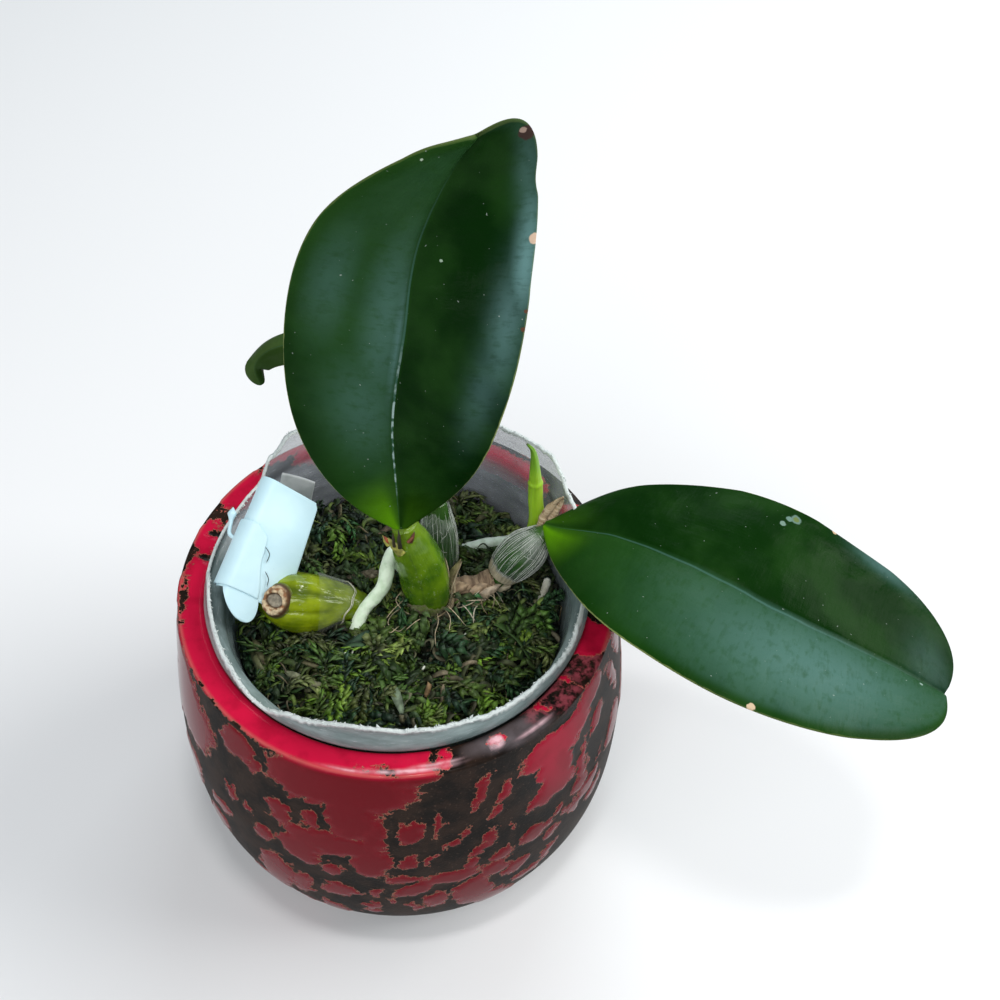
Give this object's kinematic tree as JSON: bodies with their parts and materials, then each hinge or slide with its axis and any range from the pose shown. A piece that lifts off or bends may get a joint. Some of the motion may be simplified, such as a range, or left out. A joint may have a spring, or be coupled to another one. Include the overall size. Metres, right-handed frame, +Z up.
{
  "type": "potted cattleya orchid",
  "caption": "Young potted cattleya orchid, not in bloom: thick leaves, pseudobulbs and roots in moss, in a clear nursery liner inside a bellied red and dark glazed pot.",
  "frame": {"origin": "centre of the ceramic pot's flat foot", "axes": "+Z up along the pot's axis, -Y towards the side that the leaves and label face, +X towards the leaf that reaches out"},
  "size_m": [0.1944, 0.12, 0.2085],
  "materials": {
    "glaze": "glossy crimson glaze, ragged and flowing over a dark brown-grey body",
    "clear_plastic": "clear, scratched, frosted along the cut rim",
    "moss": "living moss, matte",
    "rhizome_bark": "dry and knobbly, matte",
    "bulb_skin": "waxy green skin, satin",
    "papery_sheath": "thin dry papery sleeve with white veins",
    "dry_fibre": "dry straw fibre, matte",
    "leaf": "thick leathery leaf, satin gloss",
    "shoot": "fresh bright green, satin",
    "root": "velvety white root skin, matte",
    "label_plastic": "thin pale blue plastic, bare"
  },
  "bodies": {
    "root": {"ceramic_pot": "glaze", "plastic_liner": "clear_plastic", "moss_bed": "moss", "rhizome": "rhizome_bark", "pseudobulb_front": "bulb_skin", "pseudobulb_back": "bulb_skin", "pseudobulb_right": "bulb_skin", "pseudobulb_cut": "bulb_skin", "sheath_back": "papery_sheath", "sheath_right": "papery_sheath", "sheath_cut": "papery_sheath", "collar_front": "dry_fibre", "leaf_front": "leaf", "leaf_right": "leaf", "leaf_back": "leaf", "new_shoot": "shoot", "root_front": "root", "root_back": "root", "root_stub": "root", "root_dry": "dry_fibre", "bract_right": "dry_fibre", "plant_label": "label_plastic", "rear_tag": "clear_plastic"}
  },
  "joints": []
}
